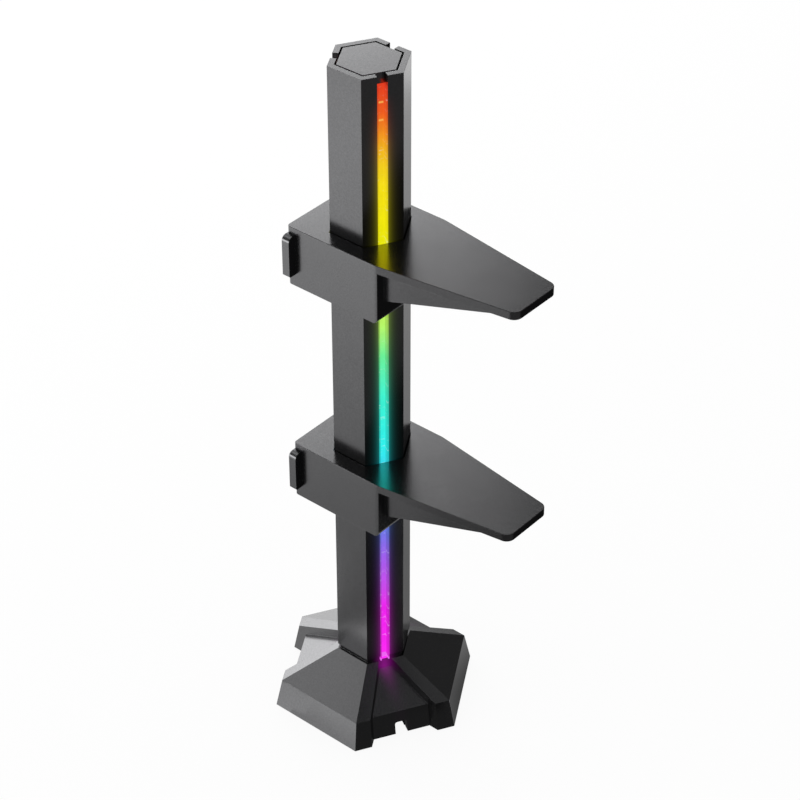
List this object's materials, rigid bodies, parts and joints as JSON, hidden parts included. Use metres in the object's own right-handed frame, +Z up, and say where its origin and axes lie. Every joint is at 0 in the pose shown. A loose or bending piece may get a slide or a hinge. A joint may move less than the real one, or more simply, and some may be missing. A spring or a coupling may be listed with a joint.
{
  "type": "graphics card support bracket",
  "caption": "Six-sided lit column on a flared base, with sliding arms whose tapered blades hold up the sagging edge of a graphics card.",
  "frame": {"origin": "centre of the foot pad's underside, on the column's axis at the floor", "axes": "+Z up along the column, +X towards the blades' tips, +Y towards the rear light bar"},
  "size_m": [0.0835, 0.052, 0.2053],
  "materials": {
    "graphite_extrusion": "satin graphite anodised aluminium extrusion",
    "graphite_casting": "fine satin graphite coat on die-cast aluminium",
    "light_diffuser": "milky diffuser, lit from behind in a rainbow run",
    "strip_white": "white flexible board with light chips",
    "black_plastic": "fine-grained black moulding",
    "black_rubber": "matt black rubber",
    "zinc_steel": "zinc-plated steel",
    "plated_magnet": "nickel-plated magnet",
    "board_green": "green printed board",
    "socket_white": "off-white moulded socket"
  },
  "bodies": {
    "stand": {"column": "graphite_extrusion", "top_cap": "graphite_casting", "light_bar_front": "light_diffuser", "light_bar_rear": "light_diffuser", "light_bar_left": "light_diffuser", "led_strip_front": "strip_white", "led_strip_rear": "strip_white", "led_strip_left": "strip_white", "base_shell": "graphite_casting", "base_cover": "black_plastic", "foot_pad": "black_rubber", "base_magnets": "plated_magnet", "column_screws": "zinc_steel", "base_cover_screws": "zinc_steel", "junction_board": "board_green", "lead_socket": "socket_white"},
    "upper_arm": {"upper_arm": "graphite_casting", "upper_arm_cover": "black_plastic", "upper_arm_screws": "zinc_steel", "upper_latch_springs": "zinc_steel"},
    "upper_latch": {"upper_latch_plate": "graphite_casting", "upper_clamp_shoe": "black_plastic", "upper_clamp_pads": "black_rubber", "upper_latch_screws": "zinc_steel"},
    "lower_arm": {"lower_arm": "graphite_casting", "lower_arm_cover": "black_plastic", "lower_arm_screws": "zinc_steel", "lower_latch_springs": "zinc_steel"},
    "lower_latch": {"lower_latch_plate": "graphite_casting", "lower_clamp_shoe": "black_plastic", "lower_clamp_pads": "black_rubber", "lower_latch_screws": "zinc_steel"}
  },
  "joints": [
    {"name": "upper_arm_slide", "type": "slide", "parent": "stand", "child": "upper_arm", "axis": [0, 0, 1], "range_m": [-0.0255, 0.047]},
    {"name": "upper_latch_pull", "type": "slide", "parent": "upper_arm", "child": "upper_latch", "axis": [-1, 0, 0], "range_m": [0, 0.0015], "stiffness_N_per_m": 2000, "springref_m": -0.002, "deforming": ["upper_latch_springs"]},
    {"name": "lower_arm_slide", "type": "slide", "parent": "stand", "child": "lower_arm", "axis": [0, 0, 1], "range_m": [-0.0515, 0.0255]},
    {"name": "lower_latch_pull", "type": "slide", "parent": "lower_arm", "child": "lower_latch", "axis": [-1, 0, 0], "range_m": [0, 0.0015], "stiffness_N_per_m": 2000, "springref_m": -0.002, "deforming": ["lower_latch_springs"]}
  ]
}
